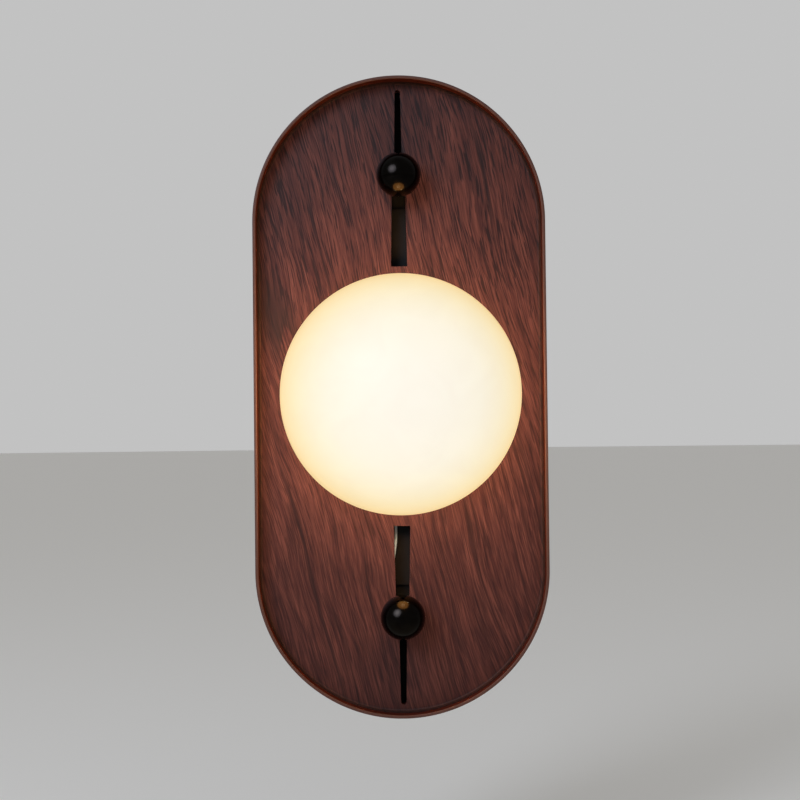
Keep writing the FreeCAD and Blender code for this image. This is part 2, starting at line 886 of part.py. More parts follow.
def makeHolderCap():
    inside = s.holderRadius - s.holderWall
    floor = fitterFront + s.holderFloor
    return node(turned("holder_cap", [
        Corner(s.nippleRadius, fitterFront),
        Corner(inside, fitterFront),
        Corner(s.holderRadius, fitterFront + s.holderWall),
        Corner(s.holderRadius, capFront),
        Corner(inside, capFront),
        Corner(inside, floor),
        Corner(s.nippleRadius, floor),
    ]))


def makeHolderBody():
    inside = s.holderRadius - s.holderWall
    back = capFront - s.holderInset
    return node(turned("holder_body", [
        Corner(s.holderWireHole, back),
        Corner(inside, back),
        Corner(inside, capFront),
        Corner(s.holderRadius, capFront),
        Corner(s.holderRadius, capFront + s.holderRim),
        Corner(s.holderRadius - s.holderTaper, capFront + s.holderRim),
        Corner(s.holderNose, holderEnd),
        Corner(holderBore, holderEnd),
        Corner(holderBore, holderFloorFront),
        Corner(s.holderWireHole, holderFloorFront),
    ]))


def makeHolderShell():
    back = holderFloorFront + s.shellGap
    return node(tubeShape("holder_shell", holderBore - s.shellWall, holderBore, back, back + s.shellLength))


# A sprung strip that rises to meet the lamp's end.
def makeHolderContact():
    body = newBody("holder_contact")
    sketch = newSketch(body, "XY_Plane", "strip")
    half = s.contactLength / 2
    knee = half * 0.6
    low = holderFloorFront
    high = low + s.contactRise
    thick = s.contactThick
    drawOutline(sketch, [
        Corner(-half, -low), Corner(-knee, -low), Corner(zero, -high), Corner(knee, -low), Corner(half, -low),
        Corner(half, -(low + thick)), Corner(knee, -(low + thick)), Corner(zero, -(high + thick)),
        Corner(-knee, -(low + thick)), Corner(-half, -(low + thick)),
    ])
    feature = pad(body, sketch, s.contactWidth)
    feature.Midplane = True
    return node(body)


# Lamp

def makeLampEyelet():
    return node(turned("lamp_eyelet", [
        Corner(zero, eyeletBack),
        Corner(s.eyeletRadius, eyeletBack + s.eyeletDome),
        Corner(s.eyeletRadius, insulatorBack),
        Corner(zero, insulatorBack),
    ]))


def makeLampInsulator():
    return node(turned("lamp_insulator", [
        Corner(zero, insulatorBack),
        Corner(s.eyeletRadius, insulatorBack),
        Corner(s.insulatorRadius, lampCapBack),
        Corner(zero, lampCapBack),
    ]))


def makeLampCap():
    inside = s.capRadius - s.capWall
    return node(turned("lamp_cap", [
        Corner(zero, lampCapBack),
        Corner(s.insulatorRadius, lampCapBack),
        Corner(s.capRadius, lampCapBack + s.capTaper),
        Corner(s.capRadius, lampCapFront),
        Corner(inside, lampCapFront),
        Corner(inside, lampCapBack + s.capTaper),
        Corner(zero, lampCapBack + s.capWall),
    ]))


def makeLampBody():
    wall = s.lampBodyWall
    plug = s.capRadius - s.capWall
    return node(turned("lamp_body", [
        Corner(plug - wall, lampCapFront - s.lampPlugLength),
        Corner(plug, lampCapFront - s.lampPlugLength),
        Corner(plug, lampCapFront),
        Corner(s.lampNeckRadius, lampCapFront),
        Corner(s.lampNeckRadius, lampNeckFront),
        Corner(s.lampShoulderRadius, lampConeFront),
        Corner(s.lampShoulderRadius, lampShoulderFront),
        Corner(s.lampShoulderRadius - wall, lampShoulderFront),
        Corner(s.lampShoulderRadius - wall, lampConeFront + wall * 0.4),
        Corner(s.lampNeckRadius - wall, lampNeckFront + wall * 0.4),
        Corner(plug - wall, lampCapFront),
    ]))


def makeLedDisc():
    back = lampConeFront + s.lampBodyWall * 0.4
    return node(tubeShape("led_disc", zero, s.lampShoulderRadius - s.lampBodyWall - s.ledPlay, back,
                          back + s.ledThick))


def makeLampGlobe():
    inside = s.globeRadius - s.globeWall
    innerRadius = root(inside * inside - globeDrop * globeDrop)
    return node(turned("lamp_globe", [
        Corner(s.lampShoulderRadius, lampShoulderFront, "up"),
        Bend(zero, globeCentre, s.globeRadius, 1),
        Corner(zero, globeCentre + s.globeRadius, "across"),
        Corner(zero, globeCentre + inside, "across"),
        Bend(zero, globeCentre, inside, -1),
        Corner(innerRadius, lampShoulderFront, "up"),
    ]))


# Terminal block

def blockWays():
    return [s.blockPitch * way for way in (-1, 0, 1)]


def clampHeights():
    middle = s.blockRise + s.blockHeight / 2
    return [middle + s.clampOffset * level for level in (-1, 1)]


def makeTerminalBlock():
    body = newBody("terminal_block")
    blockFront = boardFace - s.blockPlay
    outline = frontSketch(body, "outline", plateFront)
    middle = s.blockRise + s.blockHeight / 2
    roundedBox(outline, s.blockWidth, s.blockHeight, s.blockCorner, middle)
    pad(body, outline, blockFront - plateFront)
    pegs = frontSketch(body, "pegs", s.barThick)
    for side in (-1, 1):
        drawCircle(pegs, s.blockPegOffset * side, middle, s.blockPegRadius)
    pad(body, pegs, s.plateThick)
    bores = newSketch(body, "XY_Plane", "bores", s.blockRise + s.blockHeight)
    for across in blockWays():
        drawCircle(bores, across, -tubeDepth, s.tubeRadius)
    pocket(body, bores, s.blockHeight)
    wells = frontSketch(body, "wells", blockFront)
    for across in blockWays():
        for up in clampHeights():
            drawCircle(wells, across, up, s.clampHead + s.clampWellPlay)
    pocket(body, wells, blockFront - tubeDepth)
    return node(body)


def makeTerminalTubes():
    tubes = []
    for across in blockWays():
        body = newBody("terminal_tube_%d" % (len(tubes) + 1))
        low = s.blockRise + s.tubeInset
        section = newSketch(body, "XY_Plane", "section", low)
        drawCircle(section, zero, -tubeDepth, s.tubeRadius)
        drawCircle(section, zero, -tubeDepth, s.tubeBore)
        pad(body, section, s.blockHeight - s.tubeInset * 2)
        holes = frontSketch(body, "holes", tubeDepth + s.tubeRadius)
        for up in clampHeights():
            drawCircle(holes, zero, up, s.clampRadius)
        pocket(body, holes, s.tubeRadius)
        tubes.append(place(body, across))
    return group("terminal_tubes", tubes)


def makeTerminalScrews():
    screws = []
    seat = tubeDepth + s.tubeRadius + s.clampSeatGap
    length = seat - (tubeDepth + s.leadRadius)
    for across in blockWays():
        for up in clampHeights():
            body = screw("terminal_screw_%d" % (len(screws) + 1), seat, s.clampRadius, length,
                         s.clampHead, s.clampHeadHeight)
            screws.append(place(body, across, up))
    return group("terminal_screws", screws)


def makeEarthScrew():
    body = screw("earth_screw", plateFront + s.earthTongueThick, s.plateScrewRadius,
                 s.plateThick + s.earthTongueThick, s.plateScrewHead, s.plateScrewHeadHeight)
    return node(place(body, s.earthAside, -s.earthDrop))


# A ring under the screw with a crimped barrel that holds the end of the earth lead.
def makeEarthTongue():
    body = tubeShape("earth_tongue", s.plateScrewRadius, s.earthTongueRadius, plateFront,
                     plateFront + s.earthTongueThick)
    barrel = newSketch(body, "XY_Plane", "barrel", s.earthTongueRadius - s.crimpWall)
    drawCircle(barrel, zero, -crimpDepth, s.leadRadius + s.crimpWall)
    drawCircle(barrel, zero, -crimpDepth, s.leadRadius)
    pad(body, barrel, s.crimpLength)
    return node(place(body, s.earthAside, -s.earthDrop))


# Leads. Each route is a list of points (across, depth, up) with as large an arc at each as fits.

def routeEdges(points, label):
    edges = []
    radii = []
    start = points[0]
    for before, corner, after in zip(points, points[1:], points[2:]):
        inward = before - corner
        outward = after - corner
        turn = math.pi - inward.getAngle(outward)
        shorter = min(inward.Length, outward.Length)
        radii.append(0.45 * shorter / math.tan(turn / 2))
        inward.normalize()
        outward.normalize()
        arcStart = corner + inward * (0.45 * shorter)
        arcEnd = corner + outward * (0.45 * shorter)
        bisector = (inward + outward).normalize()
        toCentre = radii[-1] / math.cos(turn / 2)
        arcMiddle = corner + bisector * (toCentre - radii[-1])
        edges.append(Part.LineSegment(start, arcStart).toShape())
        edges.append(Part.Arc(arcStart, arcMiddle, arcEnd).toShape())
        start = arcEnd
    edges.append(Part.LineSegment(start, points[-1]).toShape())
    print(label, "radii", [round(radius, 1) for radius in radii])
    return edges


def makeLead(label, route):
    points = [Vector(across, -depth, up) for across, depth, up in route]
    path = Part.Wire(routeEdges(points, label))
    section = Part.Wire(Part.Circle(points[0], points[1] - points[0], s.leadRadius.value).toShape())
    shape = path.makePipeShell([section], True, False)
    expected = math.pi * s.leadRadius.value ** 2 * path.Length
    print(label, "length", round(path.Length, 1), "volume over section times length",
          round(shape.Volume / expected, 4))
    lead = doc.addObject("Part::Feature", label)
    lead.Label = label
    lead.Shape = shape
    lead.Placement = Placement()
    return node(lead)


def makeLeads():
    gap = (plateFront.value + s.boardGap.value) / 2
    start = fitterFront.value + s.holderFloor.value + 4
    bore = tubeDepth.value
    pitch = s.blockPitch.value
    mouth = s.blockRise.value
    inside = mouth + 10
    makeLead("neutral_lead", [
        (-1.3, start, 0), (-1.3, gap, -0.6), (-7, gap, -16), (-8.8, gap, -35), (-7.6, gap, -54),
        (-4.9, gap, -73), (-3.6, gap, -92), (-6.4, gap, -110), (-15, gap, -119.5), (-23.5, gap, -112),
        (-26, gap, -93), (-25, gap, -71), (-22.6, gap, -49), (-19, gap, -28), (-14, gap + 1.2, -11),
        (-pitch - 0.6, bore - 0.8, 2), (-pitch, bore, inside),
    ])
    makeLead("live_lead", [(1.3, start, 0), (1.3, gap, 0.4), (0, bore, inside - 8), (0, bore, inside)])
    aside = s.earthAside.value
    low = s.earthTongueRadius.value - s.earthDrop.value
    makeLead("earth_lead", [
        (aside, crimpDepth.value, low), (aside, crimpDepth.value, low + 12), (aside - 3.4, gap + 0.6, -6),
        (pitch + 2, bore - 1.2, 4), (pitch, bore, mouth + 1), (pitch + 0.1, bore, inside),
    ])


makeTrayBoard()
makeRimHoop()
makeWallBumpers()
makeStudBar()
makeMountingPlate()
makePlateScrews()
makeWireGrommet()
makeStud("upper_stud", 1)
makeStud("lower_stud", -1)
makeSpacers()
makeWasher("upper_washer", 1)
makeWasher("lower_washer", -1)
makeBall("upper_ball", 1)
makeBall("lower_ball", -1)
makeFitterPlate()
makeFitterRing()
makeFitterScrews()
makeNipple()
makeNippleNut()
makeNippleWasher()
makeHolderCap()
makeHolderBody()
makeHolderShell()
makeHolderContact()
makeDome()
makeCollar()
makePins()
makeGasket()
makeLampEyelet()
makeLampInsulator()
makeLampCap()
makeLampBody()
makeLedDisc()
makeLampGlobe()
makeTerminalBlock()
makeTerminalTubes()
makeTerminalScrews()
makeEarthScrew()
makeEarthTongue()
makeLeads()
doc.recompute()

# Nothing is written unless every object is sound and every cut takes something away
for item in doc.Objects:
    if "Invalid" in item.State or "Error" in item.State:
        raise RuntimeError("failed object: %s %s" % (item.Label, item.State))
    if item.TypeId in ("PartDesign::Pocket", "PartDesign::Groove") and item.BaseFeature is not None:
        if item.Shape.Volume > item.BaseFeature.Shape.Volume - 0.001:
            raise RuntimeError("cut takes nothing away: " + item.Label)
for item in nodes:
    if item.Shape.isNull() or not item.Shape.isValid() or not item.Shape.Solids:
        raise RuntimeError("bad shape: " + item.Label)

os.makedirs("parts", exist_ok=True)
for item in nodes:
    item.Shape.exportStep("parts/%s.step" % item.Label)
print(len(nodes), "nodes written")
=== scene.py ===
import json
import math

import bmesh
import bpy
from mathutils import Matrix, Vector


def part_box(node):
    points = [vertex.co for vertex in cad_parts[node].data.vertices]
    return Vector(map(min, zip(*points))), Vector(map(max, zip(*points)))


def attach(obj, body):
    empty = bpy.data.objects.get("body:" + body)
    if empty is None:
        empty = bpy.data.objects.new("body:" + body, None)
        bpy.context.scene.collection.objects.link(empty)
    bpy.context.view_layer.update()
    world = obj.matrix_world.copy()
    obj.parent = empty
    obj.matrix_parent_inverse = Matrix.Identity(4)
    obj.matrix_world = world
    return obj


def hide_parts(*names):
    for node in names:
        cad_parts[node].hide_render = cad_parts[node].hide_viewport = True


# Wall light: walnut tray, lit stone shade and two dark bronze ball nuts.
# Metres, front towards -Y, the wall at y = 0. Sizes in the dictionaries are millimetres.
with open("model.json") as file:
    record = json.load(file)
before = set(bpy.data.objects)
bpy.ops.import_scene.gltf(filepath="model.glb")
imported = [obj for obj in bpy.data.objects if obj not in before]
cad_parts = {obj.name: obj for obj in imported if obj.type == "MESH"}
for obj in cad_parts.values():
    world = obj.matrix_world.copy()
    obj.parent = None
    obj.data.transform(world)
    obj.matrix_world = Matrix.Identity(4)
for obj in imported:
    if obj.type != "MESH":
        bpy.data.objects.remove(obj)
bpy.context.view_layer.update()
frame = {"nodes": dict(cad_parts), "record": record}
mm = 0.001
tiny = 1e-6        # metres, for comparing places
flatOn = 0.9       # a face whose normal goes past this faces straight along an axis
bpy.context.scene.view_settings.view_transform = "Standard"
print("frame loaded,", len(frame["nodes"]), "nodes")


# Mesh helpers

def only(piece):
    bpy.ops.object.select_all(action="DESELECT")
    piece.select_set(True)
    bpy.context.view_layer.objects.active = piece


def newPiece(name):  # takes the primitive just added, with its place put into the mesh
    piece = bpy.context.active_object
    piece.name = name
    piece.data.name = name
    bpy.ops.object.transform_apply(location=True, rotation=True, scale=True)
    return piece


def edit(piece):
    only(piece)
    bpy.ops.object.mode_set(mode="EDIT")
    bpy.ops.mesh.select_all(action="SELECT")


def done():
    bpy.ops.object.mode_set(mode="OBJECT")


def pick(piece, kind, test):  # selects only the verts, edges or faces that pass the test
    bpy.ops.mesh.select_mode(type=kind)
    bpy.ops.mesh.select_all(action="DESELECT")
    shape = bmesh.from_edit_mesh(piece.data)
    parts = {"VERT": shape.verts, "EDGE": shape.edges, "FACE": shape.faces}[kind]
    for part in parts:
        if test(part):
            part.select_set(True)
    shape.select_flush_mode()
    bmesh.update_edit_mesh(piece.data)


def extrude(move=(0, 0, 0)):
    bpy.ops.mesh.extrude_region_move(TRANSFORM_OT_translate={"value": move})


def bevel(size, segments):
    bpy.ops.mesh.bevel(offset=size * mm, segments=segments, affect="EDGES")


def faceOutwards():
    bpy.ops.mesh.select_all(action="SELECT")
    bpy.ops.mesh.normals_make_consistent(inside=False)


def middle(edge):
    return (edge.verts[0].co + edge.verts[1].co) / 2


def level(edge, depth):  # true if the edge lies at that depth
    return all(abs(vert.co.y - depth) < 10 * tiny for vert in edge.verts)


def openEdge(edge):
    return edge.is_boundary


def fromAxis(point, up=0.0):
    return math.hypot(point.x, point.z - up)


def pillRadius(point, reach):  # distance from the line that joins the pill's two arc centres
    return math.hypot(point.x, max(abs(point.z) - reach, 0))


def modify(piece, kind, **settings):
    only(piece)
    modifier = piece.modifiers.new(kind.lower(), kind)
    for name, value in settings.items():
        setattr(modifier, name, value)
    bpy.ops.object.modifier_apply(modifier=modifier.name)


def cut(piece, cutter):
    modify(piece, "BOOLEAN", object=cutter, operation="DIFFERENCE", solver="EXACT")
    bpy.data.objects.remove(cutter)


def joinTo(piece, other):
    only(piece)
    other.select_set(True)
    bpy.ops.object.join()


def smooth(piece, angle):
    only(piece)
    bpy.ops.object.shade_smooth_by_angle(angle=math.radians(angle))


def cylinder(name, radius, back, front, up=0.0, sides=64):
    bpy.ops.mesh.primitive_cylinder_add(vertices=sides, radius=radius, depth=back - front,
                                        location=(0, (back + front) / 2, up), rotation=(math.pi / 2, 0, 0))
    return newPiece(name)


# A sphere cut flat at mouthDepth, left in edit mode
def openSphere(name, radius, centre, mouthDepth, sizes):
    bpy.ops.mesh.primitive_uv_sphere_add(segments=sizes["around"], ring_count=sizes["rings"], radius=radius,
                                         location=centre, rotation=(math.pi / 2, 0, 0))
    piece = newPiece(name)
    edit(piece)
    bpy.ops.mesh.bisect(plane_co=(0, mouthDepth, 0), plane_no=(0, 1, 0), clear_outer=True)
    return piece


# Draws the open edge in to a smaller mouth, in the same plane
def narrowMouth(piece, shrink, depth, up=0.0):
    pick(piece, "EDGE", openEdge)
    extrude()
    bpy.ops.transform.resize(value=(shrink, 1, shrink), center_override=(0, depth, up))


# A solid pill: half a cylinder is moved up, its cut side is drawn down and the whole is mirrored.
def addPill(name, radius, reach, back, front, capped=True, sides=256):
    piece = cylinder(name, radius, back, front, sides=sides)
    edit(piece)
    bpy.ops.mesh.bisect(plane_co=(0, 0, 0), plane_no=(0, 0, 1), clear_inner=True)
    bpy.ops.mesh.select_all(action="SELECT")
    bpy.ops.transform.translate(value=(0, 0, reach))
    if not capped:
        pick(piece, "FACE", lambda face: abs(face.normal.y) > flatOn)
        bpy.ops.mesh.delete(type="ONLY_FACE")
    pick(piece, "EDGE", lambda edge: edge.is_boundary and abs(middle(edge).z - reach) < tiny)
    extrude((0, 0, -reach))
    done()
    modify(piece, "MIRROR", use_axis=(False, False, True), use_clip=True, merge_threshold=tiny)
    if capped:
        edit(piece)
        for side in (-1, 1):
            pick(piece, "FACE", lambda face: face.normal.y * side > flatOn)
            bpy.ops.mesh.dissolve_faces()
        done()
    return piece


# Material helpers

def colour(hexText):
    parts = [int(hexText[place:place + 2], 16) / 255 for place in (0, 2, 4)]
    return [p / 12.92 if p <= 0.04045 else ((p + 0.055) / 1.055) ** 2.4 for p in parts] + [1.0]


# Gives a node its inputs, by number or name: a node or socket is linked, anything else is a value
def feed(tree, node, inputs):
    pairs = inputs.items() if isinstance(inputs, dict) else enumerate(inputs)
    for key, value in pairs:
        if isinstance(value, bpy.types.Node):
            value = value.outputs[0]
        if isinstance(value, bpy.types.NodeSocket):
            tree.links.new(value, node.inputs[key])
        else:
            node.inputs[key].default_value = value


def addNode(tree, kind, inputs=(), ramp=(), **settings):  # ramp holds (place, hex colour)
    node = tree.nodes.new("ShaderNode" + kind)
    for name, value in settings.items():
        setattr(node, name, value)
    feed(tree, node, inputs)
    if ramp:
        while len(node.color_ramp.elements) < len(ramp):
            node.color_ramp.elements.new(1.0)
        for element, (place, shade) in zip(node.color_ramp.elements, ramp):
            element.position = place
            element.color = colour(shade)
    return node


def newMaterial(name):
    material = bpy.data.materials.new(name)
    material.use_nodes = True
    tree = material.node_tree
    return material, tree, tree.nodes["Principled BSDF"]


def metres(sizes):
    return [value * mm for value in sizes]


noiseOver = (0.3, 0.7)   # the part of a noise's range that nearly all of it falls in
materials = {}


# Gives the piece its finish and its body, and hides the CAD node it stands for
def share(piece, body, slot, node):
    piece.data.materials.clear()
    piece.data.materials.append(materials[slot])
    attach(piece, body)
    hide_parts(node)


# Flat-sawn walnut with an oil finish: long dark streaks, short open pores and a satin sheen.
# Each layer of its grain has a size across and along it, detail, roughness and a place of its own.
walnut = {
    "slant": 15,                          # degrees that the grain leans off upright
    "wander": [(9, 60, 130), (1.3, 9, 36)],  # how far the grain lines stray, over what size across and along
    "bands": (11, 150, 2, 0.5, 0),
    "streaks": (2.2, 48, 3, 0.6, 17),
    "fibres": (0.8, 17, 3, 0.6, 34),      # wood fibre is finer, drawn as coarse as it shows
    "weights": (0.16, 0.36, 0.48),        # of bands, streaks and fibres in the tone
    "tones": [(0.36, "2b1311"), (0.44, "3a1b17"), (0.50, "46231d"), (0.56, "512a23"), (0.65, "61352c")],
    "pores": (0.7, 16, 1, 0.5, 83),       # open pores, thin dark dashes
    "poreRich": (8, 45, 2, 0.5, 71),      # where they crowd
    "poreCrowding": 0.3,
    "poreEdge": (0.54, 0.60),
    "poreColour": "150908", "poreDepth": (0.42, 0.85), "poreHeight": (-120, 120),  # pores darker towards the top
    "darkLines": (3.2, 150, 3, 0.5, 97),  # a few long dark lines
    "darkEdge": (0.60, 0.66), "darkDepth": 0.6,
    "gloss": (0.56, 0.42), "sheen": 0.1,
    "fibreRelief": 0.5, "relief": 0.1, "reliefStrength": 0.3,
}


def grainNoise(tree, place, layer):
    across, along, detail, roughness, offset = layer
    scaled = addNode(tree, "Mapping", {0: place, "Location": (offset, offset, offset),
                                       "Scale": (1 / across, 1 / across, 1 / along)})
    return addNode(tree, "TexNoise", {0: scaled, "Scale": 1.0, "Detail": detail, "Roughness": roughness})


# The flat distance from the line that joins the tray's two arc centres
def pillDistance(tree, coords):
    split = addNode(tree, "SeparateXYZ", [coords])
    height = addNode(tree, "Math", [split.outputs[2]], operation="ABSOLUTE")
    past = addNode(tree, "Math", [height, laminate["centreLine"] * mm], operation="SUBTRACT")
    up = addNode(tree, "Math", [past, 0.0], operation="MAXIMUM")
    flat = addNode(tree, "CombineXYZ", [split, up])
    return addNode(tree, "VectorMath", [flat], operation="LENGTH").outputs["Value"]


# Moves the point in and out across the grain, so that the lines aren't ruler straight
def strayPlace(tree, place, wander):
    reach, across, along = wander
    noise = grainNoise(tree, place, (across, along, 1, 0.5, across))
    centred = addNode(tree, "Math", [noise, 0.5], operation="SUBTRACT")
    stray = addNode(tree, "Math", [centred, reach * 2], operation="MULTIPLY")
    shift = addNode(tree, "CombineXYZ", [stray])
    return addNode(tree, "VectorMath", [place, shift], operation="ADD")


# How dark the pores and the long dark lines are
def grainDarkness(tree, place, pores, coords, wood):
    height = addNode(tree, "SeparateXYZ", [coords]).outputs[2]
    deep = addNode(tree, "MapRange", [height, *metres(wood["poreHeight"]), *wood["poreDepth"]])
    lines = addNode(tree, "MapRange", [grainNoise(tree, place, wood["darkLines"]), *wood["darkEdge"]])
    darkPores = addNode(tree, "Math", [pores, deep], operation="MULTIPLY")
    darkLines = addNode(tree, "Math", [lines, wood["darkDepth"]], operation="MULTIPLY")
    return addNode(tree, "Math", [darkPores, darkLines], operation="MAXIMUM")


# findPlace gives a point in millimetres with the grain along its third axis, and the second function what one
# piece has over the plain wood, painted shade and painted highlights among it. Both take the tree and the
# Object coordinates.
def makeWalnut(name, wood, findPlace, addFigureAndShade):
    material, tree, shader = newMaterial(name)
    coords = addNode(tree, "TexCoord").outputs["Object"]
    place = findPlace(tree, coords)
    for wander in wood["wander"]:
        place = strayPlace(tree, place, wander)
    layers = [grainNoise(tree, place, wood[layer]) for layer in ("bands", "streaks", "fibres")]
    parts = [addNode(tree, "Math", [layer, weight], operation="MULTIPLY")
             for layer, weight in zip(layers, wood["weights"])]
    total = addNode(tree, "Math", [parts[0], parts[1]], operation="ADD")
    total = addNode(tree, "Math", [total, parts[2]], operation="ADD")
    tone = addNode(tree, "ValToRGB", [total], wood["tones"])
    rich = addNode(tree, "Math", [grainNoise(tree, place, wood["poreRich"]), 0.5], operation="SUBTRACT")
    rich = addNode(tree, "Math", [rich, wood["poreCrowding"]], operation="MULTIPLY")
    pores = addNode(tree, "Math", [grainNoise(tree, place, wood["pores"]), rich], operation="ADD")
    pores = addNode(tree, "MapRange", [pores, *wood["poreEdge"]])
    dark = grainDarkness(tree, place, pores, coords, wood)
    base = addNode(tree, "Mix", {0: dark, 6: tone, 7: colour(wood["poreColour"])},
                   data_type="RGBA").outputs[2]
    base = addFigureAndShade(tree, coords, base, layers[2])
    raised = addNode(tree, "Math", [layers[2], wood["fibreRelief"]], operation="MULTIPLY")
    relief = addNode(tree, "Math", [raised, pores], operation="SUBTRACT")
    feed(tree, shader, {
        "Base Color": base,
        "Roughness": addNode(tree, "MapRange", [layers[2], *noiseOver, *wood["gloss"]]),
        "Specular IOR Level": wood["sheen"],
        "Normal": addNode(tree, "Bump", {"Strength": wood["reliefStrength"], "Distance": wood["relief"] * mm,
                                         "Height": relief}),
    })
    return material


# In the board's cove the walnut is painted darker as painted shade, and the oil is rubbed off, so the lit
# shade doesn't gleam there
coveShadeAndDull = {"over": (88.8, 91.2), "shade": (1.0, 0.25)}

# A dark flame figure by the left edge, over a lighter pointed wedge
figure = {
    "middle": (-80, 50), "size": (13, 34), "lean": 0.30, "fade": (1.2, 0.35),
    "apex": (-75, 48), "wedge": (-0.14, 0.7), "wedgeEdge": (-0.4, 0.5),
    "colour": "211410", "depth": 0.9, "overFibres": (0.35, 0.65, 0.6, 1.0),
}


def darkFigure(tree, coords):
    split = addNode(tree, "SeparateXYZ", [coords])
    right = addNode(tree, "Math", [split, figure["middle"][0] * mm], operation="SUBTRACT")
    up = addNode(tree, "Math", [split.outputs[2], figure["middle"][1] * mm], operation="SUBTRACT")
    leaned = addNode(tree, "Math", [up, figure["lean"]], operation="MULTIPLY")
    right = addNode(tree, "Math", [right, leaned], operation="ADD")
    wide, tall = metres(figure["size"])
    spot = addNode(tree, "CombineXYZ", [addNode(tree, "Math", [right, wide], operation="DIVIDE"),
                                        addNode(tree, "Math", [up, tall], operation="DIVIDE")])
    far = addNode(tree, "VectorMath", [spot], operation="LENGTH").outputs["Value"]
    dark = addNode(tree, "MapRange", [far, *figure["fade"]])
    wedge = addWedge(tree, split)
    return addNode(tree, "Math", [dark, wedge], operation="MULTIPLY")


def addWedge(tree, split):  # 0 inside the wedge below the apex, 1 outside it
    right = addNode(tree, "Math", [split, figure["apex"][0] * mm], operation="SUBTRACT")
    below = addNode(tree, "Math", [figure["apex"][1] * mm, split.outputs[2]], operation="SUBTRACT")
    low, high = [addNode(tree, "Math", [below, slope], operation="MULTIPLY") for slope in figure["wedge"]]
    leftSide = addNode(tree, "Math", [right, low], operation="SUBTRACT")
    rightSide = addNode(tree, "Math", [high, right], operation="SUBTRACT")
    deepest = addNode(tree, "Math", [leftSide, rightSide], operation="MINIMUM")
    inside = addNode(tree, "MapRange", [deepest, *metres(figure["wedgeEdge"])])
    return addNode(tree, "Math", [1.0, inside], operation="SUBTRACT")


def boardPlace(tree, coords):
    return addNode(tree, "Mapping", {0: coords, "Scale": (1 / mm, 1 / mm, 1 / mm),
                                     "Rotation": (0, math.radians(walnut["slant"]), 0)})


def boardFigureAndShade(tree, coords, base, fibres):
    rough = addNode(tree, "MapRange", [fibres, *figure["overFibres"]])
    dark = addNode(tree, "Math", [darkFigure(tree, coords), rough], operation="MULTIPLY")
    amount = addNode(tree, "Math", [dark, figure["depth"]], operation="MULTIPLY")
    base = addNode(tree, "Mix", {0: amount, 6: base, 7: colour(figure["colour"])},
                   data_type="RGBA").outputs[2]
    # painted shade: the walnut darkens into the cove
    away = pillDistance(tree, coords)
    shade = addNode(tree, "MapRange", [away, *metres(coveShadeAndDull["over"]), *coveShadeAndDull["shade"]])
    return addNode(tree, "VectorMath", {0: base, "Scale": shade}, operation="SCALE")


def dullCove(material):
    tree = material.node_tree
    away = pillDistance(tree, addNode(tree, "TexCoord").outputs["Object"])
    dull = addNode(tree, "MapRange", [away, *metres(coveShadeAndDull["over"])])
    shader = tree.nodes["Principled BSDF"]
    rough = shader.inputs["Roughness"].links[0].from_socket
    feed(tree, shader, {"Roughness": addNode(tree, "Math", [rough, dull], operation="MAXIMUM")})
    return material


# Bent walnut laminate: the grain runs round the hoop, by the piece's own map of arc length and depth.
# Its plies show as fine lines on the front edge, which is lightened by a painted highlight, and the inner
# wall is tinted with painted warm shade from the lit stone.
laminate = {
    "centreLine": 112,
    # the inner wall's tint is painted warm lamp light and shade, and the front edge's colour a painted
    # highlight
    "innerWall": (92.0, 92.5), "innerWarmShadeTint": "c47f55",
    "ply": 0.42, "plyOver": (0.35, 0.65), "plyShade": (0.8, 1.15),
    "edge": (-28.2, -28.8), "edgeHighlightColour": "5a3d34", "edgeHighlightAmount": 0.55,
}


def hoopPlace(tree, coords):
    split = addNode(tree, "SeparateXYZ", [addNode(tree, "UVMap", uv_map="grain")])
    return addNode(tree, "CombineXYZ", {0: split, 2: split.outputs[1]})


def hoopPliesAndLight(tree, coords, base, fibres):
    away = pillDistance(tree, coords)
    # the inner wall is multiplied by an orange tint: painted warm shade
    inner = addNode(tree, "MapRange", [away, *metres(laminate["innerWall"]), 1.0, 0.0])
    base = addNode(tree, "Mix", {0: inner, 6: base, 7: colour(laminate["innerWarmShadeTint"])}, data_type="RGBA",
                   blend_type="MULTIPLY").outputs[2]
    depth = addNode(tree, "SeparateXYZ", [coords]).outputs[1]
    # the front edge is lightened: a painted highlight
    edge = addNode(tree, "MapRange", [depth, *metres(laminate["edge"]), 0.0, laminate["edgeHighlightAmount"]])
    base = addNode(tree, "Mix", {0: edge, 6: base, 7: colour(laminate["edgeHighlightColour"])},
                   data_type="RGBA").outputs[2]
    across = addNode(tree, "Math", [away, 1 / (laminate["ply"] * mm)], operation="MULTIPLY")
    plies = addNode(tree, "TexNoise", {"W": across, "Scale": 1.0, "Detail": 1}, noise_dimensions="1D")
    plies = addNode(tree, "MapRange", [plies, *laminate["plyOver"], *laminate["plyShade"]])
    return addNode(tree, "VectorMath", {0: base, "Scale": plies}, operation="SCALE")


hoopWalnut = dict(
    walnut, wander=[(1, 20, 60)], poreDepth=(0.5, 0.5), bands=(5, 190, 2, 0.5, 0), weights=(0.30, 0.36, 0.48),
    tones=[(0.36, "220e0b"), (0.44, "2e1410"), (0.50, "381a14"), (0.56, "422018"), (0.65, "522c22")])

materials["board_walnut"] = dullCove(makeWalnut("oiledWalnut", walnut, boardPlace, boardFigureAndShade))
materials["hoop_walnut"] = makeWalnut("bentWalnut", hoopWalnut, hoopPlace, hoopPliesAndLight)


